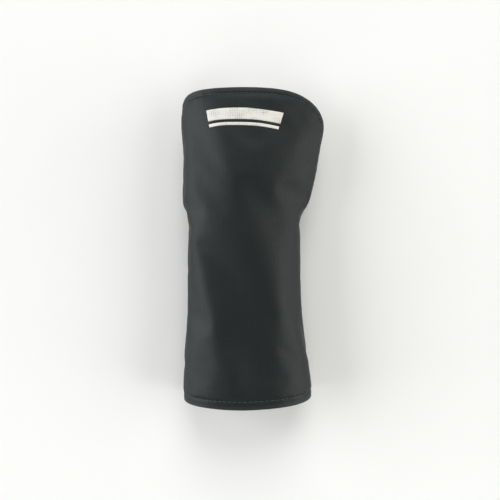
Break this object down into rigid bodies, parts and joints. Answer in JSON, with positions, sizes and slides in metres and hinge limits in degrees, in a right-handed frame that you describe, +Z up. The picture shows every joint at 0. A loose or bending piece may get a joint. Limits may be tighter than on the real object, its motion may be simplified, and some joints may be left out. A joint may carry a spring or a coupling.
{
  "type": "sliding pad",
  "caption": "Pull-on padded leg sleeve for sliding into a base: a foam front pad with a rounded open flap above, closed behind its lower part by a thin knit panel, lying on its back.",
  "frame": {"origin": "middle of the pad's footprint, on the surface that its flattened back lies on", "axes": "+X across the pad to the right as its front is seen, +Y along the leg from the hem to the flap, +Z up out of the padded front"},
  "size_m": [0.1967, 0.4201, 0.0905],
  "materials": {
    "woven_cover": "black woven nylon over foam, matt with a faint cool sheen",
    "knit_back": "black ribbed stretch knit, matt"
  },
  "bodies": {
    "root": {"front_pad": "woven_cover", "back_panel": "knit_back"}
  },
  "joints": []
}
